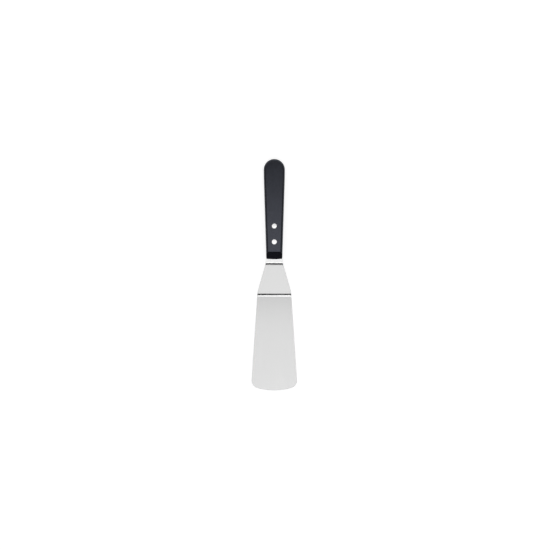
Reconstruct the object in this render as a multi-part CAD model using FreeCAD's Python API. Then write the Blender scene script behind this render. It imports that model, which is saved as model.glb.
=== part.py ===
"""Ink knife: a cranked stainless blade, its tang riveted into a one-piece moulded handle.

It is drawn in the blade's frame and then laid down as it rests on a bench.
Blade frame: Y runs along the tool towards the handle, X across the blade, Z up; the heel's
corner is at Y 0 and the blade's underside at Z 0. Handle frame: Y runs from the handle's
front end to its butt, and Z 0 is the middle of the tang. All sizes are in millimetres.
"""
import FreeCAD
import Part
import math
import os

Vector = FreeCAD.Vector

# Blade stock and side profile
STOCK = 1.5                  # thickness of the tang, neck and heel
TIP_THICKNESS = 0.7          # the blade is ground down to this at its end
BLADE_LENGTH = 114.8         # heel corner to the middle of the front edge
CRANK_RUN = 36.3             # heel corner to neck corner, along the blade
CRANK_ANGLE = 28.0           # rise of the crank above the blade, degrees
HANDLE_RISE = 3.0            # rise of the neck and handle above the blade, degrees
NECK_LENGTH = 4.75           # neck corner to the handle's front end
HEEL_RADIUS = 8.5            # inside of the heel bend
NECK_RADIUS = 9.0            # inside of the neck bend

# Blade outline, seen from above
NECK_WIDTH = 20.2
HEEL_WIDTH = 40.4
HEEL_CORNER_Y = 3.9          # where the crank's flare turns into the blade's, behind the heel
NECK_CORNER_Y = 0.4          # where the neck turns into the flare, behind the neck's bend
BLADE_WIDTH = 56.0           # where the two flanks would meet the front edge
FRONT_ARC_RADIUS = 78.0
FRONT_CORNER_RADIUS = 9.4
HEEL_CORNER_RADIUS = 8.0
NECK_CORNER_RADIUS = 3.0
EDGE_ROUNDING = 0.15         # the sheet's edges are broken by this radius

# Tang, inside the handle
TANG_WIDTH = 14.0
TANG_LENGTH = 46.0
TANG_END_RADIUS = 5.0
SHOULDER_GAP = 0.1           # between the neck's shoulders and the handle

# Handle
HANDLE_LENGTH = 120.2
HANDLE_THICKNESS = 17.0
HANDLE_FRONT_WIDTH = 19.1
BUTT_RADIUS = 12.65
FLANK_BLEND_RADIUS = 400.0   # eases the butt's round into the straight taper
FRONT_BULGE = 0.6            # how far the front end's middle stands forward
FRONT_PLAN_RADIUS = 0.7
CHAMFER_LENGTH = 8.6         # the sloping faces at the front end
CHAMFER_ANGLE = 40.0
CREASE_RADIUS = 0.3          # along the outline of each sloping face
HANDLE_EDGE_RADIUS = 3.2     # round the flat top and underside
SLOT_CLEARANCE = 0.1         # between the tang and the slot's walls
SLOT_END_GAP = 0.5           # beyond the tang's end
PARTING_WIDTH = 0.35         # the mould's witness line
PARTING_HEIGHT = 0.1
PARTING_START = 2.5          # from the front end

# Two-piece cutler's rivets
RIVET_PLACES = {"front": 20.35, "rear": 39.35}   # from the handle's front end
HEAD_RADIUS = 2.9
HEAD_DEPTH = 1.8             # of the counterbore that a head fills
HEAD_DOME = 0.12             # how far the crown stands above the handle
HEAD_EDGE = 0.09             # the head's edge above the handle, below its crown
SHANK_RADIUS = 2.0
PIN_RADIUS = 1.3
RIVET_CLEARANCE = 0.05       # round the shank and the heads
PIN_CLEARANCE = 0.01         # the pin is a drive fit in the socket
SOCKET_END_GAP = 0.3         # open end of the socket to the other head
SOCKET_FLOOR = 0.8           # metal left below the socket's bore, beyond the head
PIN_END_GAP = 1.0

# Working values
FAR = 200.0                  # further than anything in the model reaches
OVERCUT = 5.0                # how far a cutting shape passes the faces that it cuts
TOLERANCE = 0.01             # for finding edges by their place
NEARBY = 0.5                 # closer to an edge than any other edge is
RIM_FOLD = 60.0              # an edge whose faces meet at more than this angle is a rim, degrees
ROUNDS = 20                  # of an iteration that settles in five or six


def axis_direction(degrees):
    """Unit vector in the YZ plane, that many degrees above the Y axis."""
    return Vector(0, math.cos(math.radians(degrees)), math.sin(math.radians(degrees)))


HEEL_POINT = Vector(0, 0, STOCK / 2)
NECK_POINT = HEEL_POINT + axis_direction(CRANK_ANGLE) * (CRANK_RUN / math.cos(math.radians(CRANK_ANGLE)))
HANDLE_POINT = NECK_POINT + axis_direction(HANDLE_RISE) * NECK_LENGTH
HANDLE_PLACE = FreeCAD.Placement(HANDLE_POINT, FreeCAD.Rotation(Vector(1, 0, 0), HANDLE_RISE))


def placed(shape, placement):
    """A copy of shape moved by placement, with the move in its geometry."""
    return shape.transformed(placement.toMatrix(), True)


def prism(points, direction):
    """The closed polygon through points, extruded along direction."""
    return Part.Face(Part.makePolygon(points + points[:1])).extrude(direction)


def mirrored_plan(right_edges, bottom, height):
    """A prism between bottom and bottom + height from the right half of an outline, mirrored in X."""
    left_edges = [edge.mirror(Vector(0, 0, 0), Vector(1, 0, 0)) for edge in right_edges]
    wire = Part.Wire(Part.__sortEdges__(right_edges + left_edges))
    face = Part.Face(wire)
    face.translate(Vector(0, 0, bottom))
    return face.extrude(Vector(0, 0, height))


def upright_edges(solid, x, y):
    """The edges of solid that run along Z near x or -x, and y."""
    found = []
    for edge in solid.Edges:
        box = edge.BoundBox
        if box.XLength < TOLERANCE and box.YLength < TOLERANCE:
            if abs(abs(box.Center.x) - x) < NEARBY and abs(box.Center.y - y) < NEARBY:
                found.append(edge)
    return found


def sheet_profile():
    """The bent sheet as wide as the blade, before its outline is cut: tapered blade, crank, neck and tang."""
    tip = Vector(0, -BLADE_LENGTH - OVERCUT, STOCK / 2)
    tang_end = HANDLE_POINT + axis_direction(HANDLE_RISE) * TANG_LENGTH
    corners = [tip, HEEL_POINT, NECK_POINT, tang_end]
    angles = [0.0, CRANK_ANGLE, HANDLE_RISE]

    def side(sign):
        """The corner points moved half the stock to one side."""
        points = [tip + Vector(0, 0, sign * STOCK / 2)]
        for corner, before, after in zip(corners[1:-1], angles, angles[1:]):
            normal = axis_direction((before + after) / 2 + 90)
            reach = STOCK / 2 / math.cos(math.radians(after - before) / 2)
            points.append(corner + normal * (sign * reach))
        points.append(tang_end + axis_direction(HANDLE_RISE + 90) * (sign * STOCK / 2))
        return points

    lower, upper = side(-1), side(1)
    upper[0].z = TIP_THICKNESS - (STOCK - TIP_THICKNESS) * OVERCUT / BLADE_LENGTH
    sheet = prism(lower + upper[::-1], Vector(2 * FAR, 0, 0))
    sheet.translate(Vector(-FAR, 0, 0))
    for point, radius in (
        (lower[1], HEEL_RADIUS + STOCK),
        (upper[1], HEEL_RADIUS),
        (lower[2], NECK_RADIUS),
        (upper[2], NECK_RADIUS + STOCK),
    ):
        bend = [
            edge
            for edge in sheet.Edges
            if edge.BoundBox.XLength > FAR and (edge.BoundBox.Center - point).Length < NEARBY
        ]
        sheet = sheet.makeFillet(radius, bend)
    return sheet


def front_corner():
    """Where the right flank would meet the front edge, as (x, y)."""
    slope = (BLADE_WIDTH - HEEL_WIDTH) / 2 / (BLADE_LENGTH + HEEL_CORNER_Y)
    centre_y = -BLADE_LENGTH + FRONT_ARC_RADIUS
    x = BLADE_WIDTH / 2
    for _ in range(ROUNDS):
        y = centre_y - math.sqrt(FRONT_ARC_RADIUS ** 2 - x ** 2)
        x = HEEL_WIDTH / 2 + slope * (HEEL_CORNER_Y - y)
    return x, y


def blade_outline():
    """Prism of the sheet's outline seen from above, with its corners rounded."""
    x_front, y_front = front_corner()
    shoulder_y = HANDLE_POINT.y - SHOULDER_GAP
    tang_end_y = HANDLE_POINT.y + TANG_LENGTH
    right = [
        Vector(x_front, y_front, 0),
        Vector(HEEL_WIDTH / 2, HEEL_CORNER_Y, 0),
        Vector(NECK_WIDTH / 2, NECK_POINT.y + NECK_CORNER_Y, 0),
        Vector(NECK_WIDTH / 2, shoulder_y, 0),
        Vector(TANG_WIDTH / 2, shoulder_y, 0),
        Vector(TANG_WIDTH / 2, tang_end_y, 0),
        Vector(0, tang_end_y, 0),
    ]
    edges = [Part.LineSegment(a, b).toShape() for a, b in zip(right, right[1:])]
    mid_x = x_front / 2
    mid_y = -BLADE_LENGTH + FRONT_ARC_RADIUS - math.sqrt(FRONT_ARC_RADIUS ** 2 - mid_x ** 2)
    front = Part.Arc(Vector(0, -BLADE_LENGTH, 0), Vector(mid_x, mid_y, 0), right[0])
    outline = mirrored_plan([front.toShape()] + edges, -FAR / 2, FAR)
    for x, y, radius in (
        (x_front, y_front, FRONT_CORNER_RADIUS),
        (HEEL_WIDTH / 2, HEEL_CORNER_Y, HEEL_CORNER_RADIUS),
        (NECK_WIDTH / 2, NECK_POINT.y + NECK_CORNER_Y, NECK_CORNER_RADIUS),
        (TANG_WIDTH / 2, tang_end_y, TANG_END_RADIUS),
    ):
        outline = outline.makeFillet(radius, upright_edges(outline, x, y))
    return outline


def rivet_drill(place, radius):
    """A cylinder right through the handle at a rivet's place, in the handle frame."""
    return Part.makeCylinder(radius, 2 * HANDLE_THICKNESS, Vector(0, place, -HANDLE_THICKNESS))


def fold(solid, edge):
    """The angle between the normals of the two faces that meet at edge, in degrees."""
    middle = edge.valueAt((edge.FirstParameter + edge.LastParameter) / 2)
    faces = solid.ancestorsOfType(edge, Part.Face)
    first, second = [face.normalAt(*face.Surface.parameter(middle)) for face in faces]
    return math.degrees(first.getAngle(second))


def sheet_rim(sheet):
    """The long edges of the sheet that show: all round it, top and bottom, up to the neck's end."""
    shown_to = HANDLE_POINT.y - 2 * SHOULDER_GAP - STOCK
    found = []
    for edge in sheet.Edges:
        box = edge.BoundBox
        upright = box.XLength < TOLERANCE and box.YLength < STOCK / 2
        if box.YMin < shown_to and not upright and fold(sheet, edge) > RIM_FOLD:
            found.append(edge)
    return found


def make_blade():
    """Blade, crank, neck and tang: one piece of sheet."""
    blade = sheet_profile().common(blade_outline())
    blade = blade.makeFillet(EDGE_ROUNDING, sheet_rim(blade))
    for place in RIVET_PLACES.values():
        blade = blade.cut(placed(rivet_drill(place, SHANK_RADIUS + RIVET_CLEARANCE), HANDLE_PLACE))
    return blade


def handle_outline():
    """Edges of the right half of the handle's outline, front end first, in the handle frame."""
    butt_y = HANDLE_LENGTH - BUTT_RADIUS
    half_front = HANDLE_FRONT_WIDTH / 2
    # The taper's angle follows from the front width: the blend arc leaves the butt's round
    # along Y and turns by that angle before the straight flank.
    taper = math.atan((BUTT_RADIUS - half_front) / butt_y)
    for _ in range(ROUNDS):
        blend_run = FLANK_BLEND_RADIUS * math.sin(taper)
        blend_inset = FLANK_BLEND_RADIUS * (1 - math.cos(taper))
        taper = math.atan((BUTT_RADIUS - blend_inset - half_front) / (butt_y - blend_run))

    def on_blend(angle):
        return Vector(
            BUTT_RADIUS - FLANK_BLEND_RADIUS * (1 - math.cos(angle)),
            butt_y - FLANK_BLEND_RADIUS * math.sin(angle),
            0,
        )

    corner = Vector(half_front, FRONT_BULGE, 0)
    bulge_radius = (half_front ** 2 + FRONT_BULGE ** 2) / (2 * FRONT_BULGE)
    mid_x = half_front / 2
    mid_y = bulge_radius - math.sqrt(bulge_radius ** 2 - mid_x ** 2)
    quarter = math.radians(45)
    return [
        Part.Arc(Vector(0, 0, 0), Vector(mid_x, mid_y, 0), corner).toShape(),
        Part.LineSegment(corner, on_blend(taper)).toShape(),
        Part.Arc(on_blend(taper), on_blend(taper / 2), on_blend(0)).toShape(),
        Part.Arc(
            on_blend(0),
            Vector(BUTT_RADIUS * math.cos(quarter), butt_y + BUTT_RADIUS * math.sin(quarter), 0),
            Vector(0, HANDLE_LENGTH, 0),
        ).toShape(),
    ]


def long_rim(solid, z):
    """The edges of solid's flat face at height z, all but those of the front end."""
    found = []
    for edge in solid.Edges:
        box = edge.BoundBox
        level = abs(box.ZMin - z) < TOLERANCE and abs(box.ZMax - z) < TOLERANCE
        if level and box.YMax > CHAMFER_LENGTH:
            found.append(edge)
    return found


def front_wedge(sign):
    """The wedge cut off above (sign 1) or below (sign -1) a sloping front face."""
    half = HANDLE_THICKNESS / 2
    drop = math.tan(math.radians(CHAMFER_ANGLE)) * (CHAMFER_LENGTH + OVERCUT)
    points = [
        Vector(-FAR, CHAMFER_LENGTH, sign * half),
        Vector(-FAR, -OVERCUT, sign * (half - drop)),
        Vector(-FAR, -OVERCUT, sign * (half + OVERCUT)),
        Vector(-FAR, CHAMFER_LENGTH, sign * (half + OVERCUT)),
    ]
    return prism(points, Vector(2 * FAR, 0, 0))


def tang_slot():
    """The pocket that the tang fills."""
    width = TANG_WIDTH + 2 * SLOT_CLEARANCE
    thickness = STOCK + 2 * SLOT_CLEARANCE
    length = TANG_LENGTH + SLOT_END_GAP
    corner = Vector(-width / 2, -OVERCUT, -thickness / 2)
    slot = Part.makeBox(width, OVERCUT + length, thickness, corner)
    return slot.makeFillet(TANG_END_RADIUS, upright_edges(slot, width / 2, length))


def parting_line():
    """The fine raised line where the mould's halves met, round the flanks and the butt."""
    plan = mirrored_plan(handle_outline(), -PARTING_WIDTH / 2, PARTING_WIDTH)
    middle = plan.slice(Vector(0, 0, 1), 0)[0]
    band = Part.Face(middle.makeOffset2D(PARTING_HEIGHT))
    band.translate(Vector(0, 0, -PARTING_WIDTH / 2))
    band = band.extrude(Vector(0, 0, PARTING_WIDTH))
    corner = Vector(-FAR, PARTING_START, -PARTING_WIDTH)
    return band.common(Part.makeBox(2 * FAR, FAR, 2 * PARTING_WIDTH, corner))


def slope_outline(solid, sign):
    """The edges of solid round its sloping front face, upper (sign 1) or lower (sign -1)."""
    angle = math.radians(CHAMFER_ANGLE)
    start = Vector(0, CHAMFER_LENGTH, sign * HANDLE_THICKNESS / 2)
    normal = Vector(0, -math.sin(angle), sign * math.cos(angle))
    return [
        edge
        for edge in solid.Edges
        if all(abs((point - start).dot(normal)) < TOLERANCE for point in edge.discretize(Number=5))
    ]


def make_handle():
    """The moulded handle, in its own frame, with its slot, rivet holes and counterbores."""
    half = HANDLE_THICKNESS / 2
    handle = mirrored_plan(handle_outline(), -half, HANDLE_THICKNESS)
    handle = handle.makeFillet(FRONT_PLAN_RADIUS, upright_edges(handle, HANDLE_FRONT_WIDTH / 2, FRONT_BULGE))
    handle = handle.makeFillet(HANDLE_EDGE_RADIUS, long_rim(handle, half) + long_rim(handle, -half))
    for sign in (1, -1):
        handle = handle.cut(front_wedge(sign))
    handle = handle.makeFillet(CREASE_RADIUS, slope_outline(handle, 1) + slope_outline(handle, -1))
    handle = handle.fuse(parting_line())
    handle = handle.cut(tang_slot())
    for place in RIVET_PLACES.values():
        handle = handle.cut(rivet_drill(place, SHANK_RADIUS + RIVET_CLEARANCE))
        for seat in (half - HEAD_DEPTH, HEAD_DEPTH - half - HANDLE_THICKNESS):
            bore = Part.makeCylinder(HEAD_RADIUS + RIVET_CLEARANCE, HANDLE_THICKNESS, Vector(0, place, seat))
            handle = handle.cut(bore)
    return handle.removeSplitter()


def turned(points_and_arcs, place):
    """A solid of revolution about a rivet's axis. Each item is a point (radius, z), or a pair of
    points that an arc runs through from the point before. It closes along the axis."""
    first = Vector(points_and_arcs[0][0], 0, points_and_arcs[0][1])
    at = first
    edges = []
    for item in points_and_arcs[1:]:
        if isinstance(item[0], tuple):
            through, end = (Vector(r, 0, z) for r, z in item)
            edges.append(Part.Arc(at, through, end).toShape())
        else:
            end = Vector(item[0], 0, item[1])
            edges.append(Part.LineSegment(at, end).toShape())
        at = end
    edges.append(Part.LineSegment(at, first).toShape())
    solid = Part.Face(Part.Wire(edges)).revolve(Vector(0, 0, 0), Vector(0, 0, 1), 360)
    solid.translate(Vector(0, place, 0))
    return solid


def dome(radius, height):
    """A point on a rivet's crown between its rim and its top, for an arc that ends at the axis."""
    sphere = (radius ** 2 + height ** 2) / (2 * height)
    mid = radius / 2
    return mid, height - (sphere - math.sqrt(sphere ** 2 - mid ** 2))


def make_rivet_pin(place):
    """The half with the solid pin. Its head is in the handle's top face."""
    top = HANDLE_THICKNESS / 2
    seat = top - HEAD_DEPTH
    mid_r, mid_z = dome(HEAD_RADIUS, HEAD_DOME - HEAD_EDGE)
    rim = top + HEAD_EDGE
    return turned(
        [
            (0, top + HEAD_DOME),
            ((mid_r, rim + mid_z), (HEAD_RADIUS, rim)),
            (HEAD_RADIUS, seat),
            (PIN_RADIUS, seat),
            (PIN_RADIUS, -seat + SOCKET_FLOOR + PIN_END_GAP),
            (0, -seat + SOCKET_FLOOR + PIN_END_GAP),
        ],
        place,
    )


def make_rivet_socket(place):
    """The half with the bored shank. Its head is in the handle's underside."""
    bottom = -HANDLE_THICKNESS / 2
    seat = bottom + HEAD_DEPTH
    mid_r, mid_z = dome(HEAD_RADIUS, HEAD_DOME - HEAD_EDGE)
    rim = bottom - HEAD_EDGE
    bore = PIN_RADIUS + PIN_CLEARANCE
    return turned(
        [
            (0, bottom - HEAD_DOME),
            ((mid_r, rim - mid_z), (HEAD_RADIUS, rim)),
            (HEAD_RADIUS, seat),
            (SHANK_RADIUS, seat),
            (SHANK_RADIUS, -seat - SOCKET_END_GAP),
            (bore, -seat - SOCKET_END_GAP),
            (bore, seat + SOCKET_FLOOR),
            (0, seat + SOCKET_FLOOR),
        ],
        place,
    )


def rest_placement(shapes):
    """How the knife lies on a bench: on the outside of the heel bend and on the butt's lower edge.

    Both are round in side view, so the bench is the line that touches both circles from below.
    """
    heel_outer = HEEL_RADIUS + STOCK
    heel_centre = Vector(0, -HEEL_RADIUS * math.tan(math.radians(CRANK_ANGLE / 2)), heel_outer)
    butt_centre = HANDLE_PLACE.multVec(
        Vector(0, HANDLE_LENGTH - HANDLE_EDGE_RADIUS, -HANDLE_THICKNESS / 2 + HANDLE_EDGE_RADIUS)
    )
    apart = butt_centre - heel_centre
    slope = math.atan2(apart.z, apart.y) - math.asin((HANDLE_EDGE_RADIUS - heel_outer) / apart.Length)
    turn = FreeCAD.Placement(Vector(), FreeCAD.Rotation(Vector(1, 0, 0), -math.degrees(slope)))
    box = Part.makeCompound([placed(shape, turn) for shape in shapes]).optimalBoundingBox(False)
    print("rests tilted by", round(math.degrees(slope), 3), "degrees")
    return FreeCAD.Placement(Vector(0, -box.Center.y, -box.ZMin), FreeCAD.Rotation()).multiply(turn)


def main():
    handle_parts = {"handle": make_handle()}
    for name, place in RIVET_PLACES.items():
        handle_parts["rivet_pin_" + name] = make_rivet_pin(place)
        handle_parts["rivet_socket_" + name] = make_rivet_socket(place)
    parts = {name: placed(shape, HANDLE_PLACE) for name, shape in handle_parts.items()}
    parts["blade"] = make_blade()
    rest = rest_placement(list(parts.values()))
    os.makedirs("parts", exist_ok=True)
    for name, shape in parts.items():
        shape = placed(shape, rest)
        print(name, "solids", len(shape.Solids), "valid", shape.isValid(), "volume", round(shape.Volume, 1))
        shape.Solids[0].exportStep("parts/" + name + ".step")


main()
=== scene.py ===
"""The looks of the ink knife: materials, stage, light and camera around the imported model.

Everything is in metres in the model's own frame: +Y runs from the blade's front edge to the
handle's butt, +X across the blade, +Z up from the floor that the knife lies on.
"""
import math

import bpy
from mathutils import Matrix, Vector


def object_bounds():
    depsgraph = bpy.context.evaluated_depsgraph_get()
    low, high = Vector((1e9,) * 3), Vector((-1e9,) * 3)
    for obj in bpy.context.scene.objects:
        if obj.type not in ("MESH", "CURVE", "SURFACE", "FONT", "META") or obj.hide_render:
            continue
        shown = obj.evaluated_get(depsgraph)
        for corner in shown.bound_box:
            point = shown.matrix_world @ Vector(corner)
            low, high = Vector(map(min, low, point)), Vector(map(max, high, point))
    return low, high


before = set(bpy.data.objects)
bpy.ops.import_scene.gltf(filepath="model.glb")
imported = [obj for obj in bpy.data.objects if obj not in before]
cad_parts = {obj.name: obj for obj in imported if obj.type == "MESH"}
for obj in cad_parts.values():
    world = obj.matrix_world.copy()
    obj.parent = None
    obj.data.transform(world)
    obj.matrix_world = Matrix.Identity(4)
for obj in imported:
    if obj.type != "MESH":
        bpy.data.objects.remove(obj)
cad_low, cad_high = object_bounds()

MM = 0.001

# Camera: straight above, with a long lens
CAMERA_HEIGHT = 3.0                   # above the middle of the knife
FRAME_WIDTH = 0.66                    # what the picture spans at the knife
CAMERA_OFFSET = Vector((0.84, -0.44, 0)) * MM
SENSOR_WIDTH = 36.0                   # millimetres, as the lens is
CAMERA_REACH = 50.0

# Light: a soft box overhead, and a studio that is darker in some directions than in others
SOFTBOX_HEIGHT = 1.5
SOFTBOX_WIDTH = 1.5
SOFTBOX_PROFILE = [                   # (y, radiance) from the blade's side to the butt's side
    (-0.41, 0.0),
    (-0.38, 1.85),
    (-0.10, 1.85),
    (0.02, 1.38),
    (0.08, 1.12),
    (0.16, 1.12),
    (0.205, 1.28),
    (0.25, 1.2),
    (0.285, 1.44),
    (0.32, 0.55),
    (0.36, 0.19),
    (0.50, 0.1),
]
WORLD_PROFILE = [                     # (degrees from the zenith towards the blade's end, radiance)
    (-90, 0.15),
    (-78, 0.3),
    (-64, 1.0),
    (-54, 1.0),
    (-32, 0.3),
    (-10, 0.3),
    (5, 0.05),
    (35, 0.05),
    (39, 1.2),
    (58, 1.2),
    (66, 0.07),
    (90, 0.05),
]
WORLD_SIDEWAYS = [                    # (how far the direction leans to either side, share of light)
    (0, 1),
    (0.45, 1),
    (0.8, 0.75),
    (1, 0.65),
]
WORLD_SEEN = 1.0                      # the plain white that the camera sees beyond the floor

# Floor: pale, and lit up for the camera until it is plain white
FLOOR_HALF = 12.0
FLOOR_DROP = 0.02 * MM                # below the knife, so that the two don't share a plane
FLOOR_GREY = 0.5
FLOOR_GLOW = [                        # (distance from the knife, radiance added for the camera)
    (0.0, 0.79),
    (0.5, 0.81),
    (1.0, 0.845),
    (1.5, 0.875),
    (2.2, 0.895),
    (3.0, 0.905),
]
FLOOR_REFLECTED = 0.5                 # radiance added where the knife mirrors the floor

# Materials: noise scales are cells per metre along X, Y and Z, and a pair is a value's range
RAMP_TOP = 2.0                        # the highest level that a ramp can hold

STEEL_FINE_NOISE = {"scale": (5200, 60, 60), "detail": 3.0}
STEEL_COARSE_NOISE = {"scale": (1300, 14, 14), "detail": 2.0}
STEEL_CLOUD_NOISE = {"scale": (30, 14, 14), "detail": 2.0}
STEEL_FINE_SHARE = 0.6
STEEL_COARSE_SHARE = 0.4
STEEL_TONE = (0.575, 0.715)
STEEL_CLOUD = (-0.008, 0.008)
STEEL_ROUGHNESS = (0.10, 0.30)
STEEL_ANISOTROPY = 0.6
STEEL_BUMP = 0.25
STEEL_BUMP_DEPTH = 0.01 * MM
NECK_POLISH_AND_HIGHLIGHT = [                       # (y, tone added): partly a brighter polish on the neck, partly a painted highlight, rising at the end of the neck's bend
    (0.0, 0),
    (0.0150, 0),
    (0.0162, 0.14),
    (0.02, 0.14),
]

PLASTIC_IOR = 1.6
PLASTIC_SPECULAR = 0.66
PLASTIC_GLOSS_TINT = (0.79, 0.835, 1.0, 1)
PLASTIC_TINT = (0.85, 0.95, 1.45)     # red, green and blue shares of the tone
PLASTIC_GRAIN_NOISE = {"scale": (2600, 2600, 2600), "detail": 4.0}
PLASTIC_MOTTLE_NOISE = {"scale": (420, 420, 420), "detail": 2.0}
PLASTIC_CLOUD_NOISE = {"scale": (55, 55, 55), "detail": 3.0}
PLASTIC_TONE = (0.0035, 0.0055)
PLASTIC_MOTTLE = (-0.007, 0.007)
PLASTIC_GRAIN = (-0.001, 0.001)
PLASTIC_ROUGHNESS = (0.14, 0.18)
PLASTIC_GRAIN_ROUGHNESS = (-0.02, 0.02)
PLASTIC_BUMP = 0.5
PLASTIC_BUMP_DEPTH = 0.04 * MM

RIVET_SCUFF_NOISE = {"scale": (3000, 300, 300), "detail": 3.0}
RIVET_TONE = (0.92, 0.97)
RIVET_ROUGHNESS = (0.14, 0.24)


def put(tree, kind, **values):
    """A new node in tree, with its settings and its unlinked inputs set from values."""
    node = tree.nodes.new(kind)
    for name, value in values.items():
        if hasattr(node, name):
            setattr(node, name, value)
        else:
            node.inputs[name.replace("_", " ")].default_value = value
    return node


def join(tree, source, target):
    """Link one socket to another."""
    tree.links.new(source, target)


def maths(tree, operation, first, second=None):
    """A Math node's output. Each operand is a socket or a number."""
    node = tree.nodes.new("ShaderNodeMath")
    node.operation = operation
    for index, operand in enumerate((first, second)):
        if isinstance(operand, bpy.types.NodeSocket):
            join(tree, operand, node.inputs[index])
        elif operand is not None:
            node.inputs[index].default_value = operand
    return node.outputs[0]


def ramp(tree, value, stops):
    """A grey ramp through stops, which are (value, level) pairs with levels up to RAMP_TOP."""
    low, high = stops[0][0], stops[-1][0]
    scaled = put(tree, "ShaderNodeMapRange", clamp=True)
    join(tree, value, scaled.inputs["Value"])
    scaled.inputs["From Min"].default_value = low
    scaled.inputs["From Max"].default_value = high
    colours = tree.nodes.new("ShaderNodeValToRGB")
    elements = colours.color_ramp.elements
    while len(elements) > 1:
        elements.remove(elements[0])
    for index, (at, level) in enumerate(stops):
        place = (at - low) / (high - low)
        element = elements[0] if index == 0 else elements.new(place)
        element.position = place
        grey = level / RAMP_TOP
        element.color = (grey, grey, grey, 1)
    join(tree, scaled.outputs[0], colours.inputs[0])
    return maths(tree, "MULTIPLY", colours.outputs[0], RAMP_TOP)


def span(tree, value, limits):
    """Stretch a 0..1 value to the pair of limits."""
    node = put(tree, "ShaderNodeMapRange", clamp=False)
    join(tree, value, node.inputs["Value"])
    node.inputs["To Min"].default_value, node.inputs["To Max"].default_value = limits
    return node.outputs[0]


def object_place(tree):
    """The Texture Coordinate node's place in the object's own frame."""
    return tree.nodes.new("ShaderNodeTexCoord").outputs["Object"]


def object_y(tree):
    """How far along Y a point lies in the object's own frame."""
    parts = tree.nodes.new("ShaderNodeSeparateXYZ")
    join(tree, object_place(tree), parts.inputs[0])
    return parts.outputs["Y"]


def stretched_noise(tree, scale, detail):
    """Noise over the object's own coordinates, with a scale for each axis."""
    mapping = put(tree, "ShaderNodeMapping", vector_type="POINT")
    mapping.inputs["Scale"].default_value = scale
    noise = put(tree, "ShaderNodeTexNoise", Scale=1.0, Detail=detail)
    join(tree, object_place(tree), mapping.inputs["Vector"])
    join(tree, mapping.outputs["Vector"], noise.inputs["Vector"])
    return noise.outputs["Fac"]


def new_material(name):
    """An empty node material and its tree."""
    material = bpy.data.materials.new(name)
    material.use_nodes = True
    material.node_tree.nodes.clear()
    return material, material.node_tree


def finish_surface(tree, shader):
    """Send a shader to the material's output."""
    output = tree.nodes.new("ShaderNodeOutputMaterial")
    join(tree, shader.outputs[0], output.inputs["Surface"])


def paint(tree, shader, channels):
    """Link red, green and blue values to a shader's base colour."""
    colour = tree.nodes.new("ShaderNodeCombineColor")
    for socket, channel in zip(colour.inputs, channels):
        join(tree, channel, socket)
    join(tree, colour.outputs[0], shader.inputs["Base Color"])


def roughen(tree, shader, height, strength, depth):
    """Link a fine bump to a shader's normal."""
    bump = put(tree, "ShaderNodeBump", Strength=strength, Distance=depth)
    join(tree, height, bump.inputs["Height"])
    join(tree, bump.outputs[0], shader.inputs["Normal"])


def brushed_steel():
    """Satin stainless sheet, ground lengthwise: faint streaks along Y, and a sheen drawn out across them.

    The neck is painted a little brighter than the rest, from the end of its bend into the handle: partly
    a brighter polish, partly a painted highlight.
    """
    material, tree = new_material("satin_stainless")
    shader = put(tree, "ShaderNodeBsdfPrincipled", Metallic=1.0, Anisotropic=STEEL_ANISOTROPY)
    fine = maths(tree, "MULTIPLY", stretched_noise(tree, **STEEL_FINE_NOISE), STEEL_FINE_SHARE)
    coarse = maths(tree, "MULTIPLY", stretched_noise(tree, **STEEL_COARSE_NOISE), STEEL_COARSE_SHARE)
    streaks = maths(tree, "ADD", fine, coarse)
    cloud = span(tree, stretched_noise(tree, **STEEL_CLOUD_NOISE), STEEL_CLOUD)
    satin = maths(tree, "ADD", span(tree, streaks, STEEL_TONE), cloud)
    # painted highlight on the neck, partly standing for a brighter polish there
    polish_and_highlight = ramp(tree, object_y(tree), NECK_POLISH_AND_HIGHLIGHT)
    tone = maths(tree, "ADD", satin, polish_and_highlight)
    paint(tree, shader, (tone, tone, tone))
    join(tree, span(tree, streaks, STEEL_ROUGHNESS), shader.inputs["Roughness"])
    across = put(tree, "ShaderNodeCombineXYZ", X=1.0)
    join(tree, across.outputs[0], shader.inputs["Tangent"])
    roughen(tree, shader, streaks, STEEL_BUMP, STEEL_BUMP_DEPTH)
    finish_surface(tree, shader)
    return material


def moulded_plastic():
    """Black satin plastic with a fine spark-eroded grain and a faint mottle."""
    material, tree = new_material("black_moulded_plastic")
    shader = put(tree, "ShaderNodeBsdfPrincipled", Metallic=0.0, IOR=PLASTIC_IOR)
    shader.inputs["Specular IOR Level"].default_value = PLASTIC_SPECULAR
    shader.inputs["Specular Tint"].default_value = PLASTIC_GLOSS_TINT
    grain = stretched_noise(tree, **PLASTIC_GRAIN_NOISE)
    cloud = stretched_noise(tree, **PLASTIC_CLOUD_NOISE)
    mottle = stretched_noise(tree, **PLASTIC_MOTTLE_NOISE)
    uneven = maths(tree, "ADD", span(tree, mottle, PLASTIC_MOTTLE), span(tree, grain, PLASTIC_GRAIN))
    tone = maths(tree, "ADD", span(tree, cloud, PLASTIC_TONE), uneven)
    paint(tree, shader, [maths(tree, "MULTIPLY", tone, share) for share in PLASTIC_TINT])
    wear = span(tree, cloud, PLASTIC_ROUGHNESS)
    roughness = maths(tree, "ADD", wear, span(tree, grain, PLASTIC_GRAIN_ROUGHNESS))
    join(tree, roughness, shader.inputs["Roughness"])
    roughen(tree, shader, grain, PLASTIC_BUMP, PLASTIC_BUMP_DEPTH)
    finish_surface(tree, shader)
    return material


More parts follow.
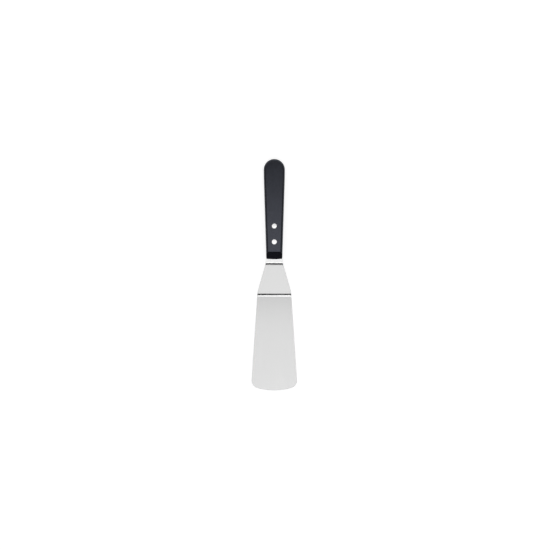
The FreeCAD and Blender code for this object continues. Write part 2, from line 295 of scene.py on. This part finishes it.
def polished_rivet():
    """Bright rivet metal with fine scuffs."""
    material, tree = new_material("polished_rivet_metal")
    shader = put(tree, "ShaderNodeBsdfPrincipled", Metallic=1.0)
    scuffs = stretched_noise(tree, **RIVET_SCUFF_NOISE)
    tone = span(tree, scuffs, RIVET_TONE)
    paint(tree, shader, (tone, tone, tone))
    join(tree, span(tree, scuffs, RIVET_ROUGHNESS), shader.inputs["Roughness"])
    finish_surface(tree, shader)
    return material


def dress(node, material):
    """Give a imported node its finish."""
    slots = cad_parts[node].data.materials
    slots.clear()
    slots.append(material)


def dress_knife():
    """Steel on the blade, plastic on the handle and bright metal on every half rivet."""
    rivet = polished_rivet()
    dress("blade", brushed_steel())
    dress("handle", moulded_plastic())
    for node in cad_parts:
        if node.startswith("rivet"):
            dress(node, rivet)


def flat_panel(name, corners):
    """A flat panel at Z 0 through (x, y) corners. It faces up if they run anticlockwise."""
    mesh = bpy.data.meshes.new(name)
    mesh.from_pydata([(x, y, 0) for x, y in corners], [], [(0, 1, 2, 3)])
    panel = bpy.data.objects.new(name, mesh)
    bpy.context.scene.collection.objects.link(panel)
    return panel


def floor_material():
    """Matt grey in the knife's light, with a glow that makes it plain white to the camera."""
    material, tree = new_material("pale_floor")
    diffuse = tree.nodes.new("ShaderNodeBsdfDiffuse")
    diffuse.inputs["Color"].default_value = (FLOOR_GREY, FLOOR_GREY, FLOOR_GREY, 1)
    away = put(tree, "ShaderNodeVectorMath", operation="LENGTH")
    join(tree, object_place(tree), away.inputs[0])
    white = ramp(tree, away.outputs["Value"], FLOOR_GLOW)
    path = tree.nodes.new("ShaderNodeLightPath")
    direct = maths(tree, "MULTIPLY", path.outputs["Is Camera Ray"], white)
    mirrored = maths(tree, "MULTIPLY", path.outputs["Is Glossy Ray"], FLOOR_REFLECTED)
    glow = tree.nodes.new("ShaderNodeEmission")
    join(tree, maths(tree, "ADD", direct, mirrored), glow.inputs["Strength"])
    both = tree.nodes.new("ShaderNodeAddShader")
    join(tree, diffuse.outputs[0], both.inputs[0])
    join(tree, glow.outputs[0], both.inputs[1])
    finish_surface(tree, both)
    return material


def make_floor():
    """A wide pale floor, plain white round the knife and out to the horizon."""
    half = FLOOR_HALF
    floor = flat_panel("studio_floor", [(-half, -half), (half, -half), (half, half), (-half, half)])
    floor.location.z = -FLOOR_DROP
    floor.data.materials.append(floor_material())


def make_softbox():
    """The overhead soft box: a panel that shines down and that the camera doesn't see."""
    low, high = SOFTBOX_PROFILE[0][0], SOFTBOX_PROFILE[-1][0]
    half = SOFTBOX_WIDTH / 2
    panel = flat_panel("softbox", [(-half, low), (-half, high), (half, high), (half, low)])
    panel.location.z = SOFTBOX_HEIGHT
    panel.visible_camera = False
    material, tree = new_material("softbox_cloth")
    glow = tree.nodes.new("ShaderNodeEmission")
    join(tree, ramp(tree, object_y(tree), SOFTBOX_PROFILE), glow.inputs["Strength"])
    finish_surface(tree, glow)
    panel.data.materials.append(material)


def studio_level(tree):
    """How bright the studio is, by direction: a profile along the knife, fading to the sides."""
    place = tree.nodes.new("ShaderNodeTexCoord")
    parts = tree.nodes.new("ShaderNodeSeparateXYZ")
    join(tree, place.outputs["Generated"], parts.inputs[0])
    towards_blade = maths(tree, "MULTIPLY", parts.outputs["Y"], -1.0)
    angle = maths(tree, "ARCTAN2", towards_blade, parts.outputs["Z"])
    degrees = maths(tree, "MULTIPLY", angle, 180 / math.pi)
    level = ramp(tree, degrees, WORLD_PROFILE)
    sideways = maths(tree, "ABSOLUTE", parts.outputs["X"])
    return maths(tree, "MULTIPLY", level, ramp(tree, sideways, WORLD_SIDEWAYS))


def make_world():
    """The studio round the knife. The camera itself sees plain white."""
    world = bpy.data.worlds.new("studio")
    bpy.context.scene.world = world
    world.use_nodes = True
    tree = world.node_tree
    tree.nodes.clear()
    studio = put(tree, "ShaderNodeBackground", Color=(1, 1, 1, 1))
    join(tree, studio_level(tree), studio.inputs["Strength"])
    white = put(tree, "ShaderNodeBackground", Color=(1, 1, 1, 1), Strength=WORLD_SEEN)
    path = tree.nodes.new("ShaderNodeLightPath")
    mix = tree.nodes.new("ShaderNodeMixShader")
    join(tree, path.outputs["Is Camera Ray"], mix.inputs[0])
    join(tree, studio.outputs[0], mix.inputs[1])
    join(tree, white.outputs[0], mix.inputs[2])
    output = tree.nodes.new("ShaderNodeOutputWorld")
    join(tree, mix.outputs[0], output.inputs["Surface"])


def make_camera():
    """Straight above the knife, with the handle at the top of the picture."""
    camera = bpy.data.cameras.new("camera")
    camera.sensor_width = SENSOR_WIDTH
    camera.lens = SENSOR_WIDTH * CAMERA_HEIGHT / FRAME_WIDTH
    camera.clip_end = CAMERA_REACH
    holder = bpy.data.objects.new("camera", camera)
    bpy.context.scene.collection.objects.link(holder)
    holder.location = (cad_low + cad_high) / 2 + CAMERA_OFFSET + Vector((0, 0, CAMERA_HEIGHT))
    bpy.context.scene.camera = holder


def set_picture():
    """Plain display of the light, without a film look."""
    settings = bpy.context.scene.view_settings
    settings.view_transform = "Standard"
    settings.look = "None"
    settings.exposure = 0
    settings.gamma = 1


dress_knife()
make_floor()
make_softbox()
make_world()
make_camera()
set_picture()
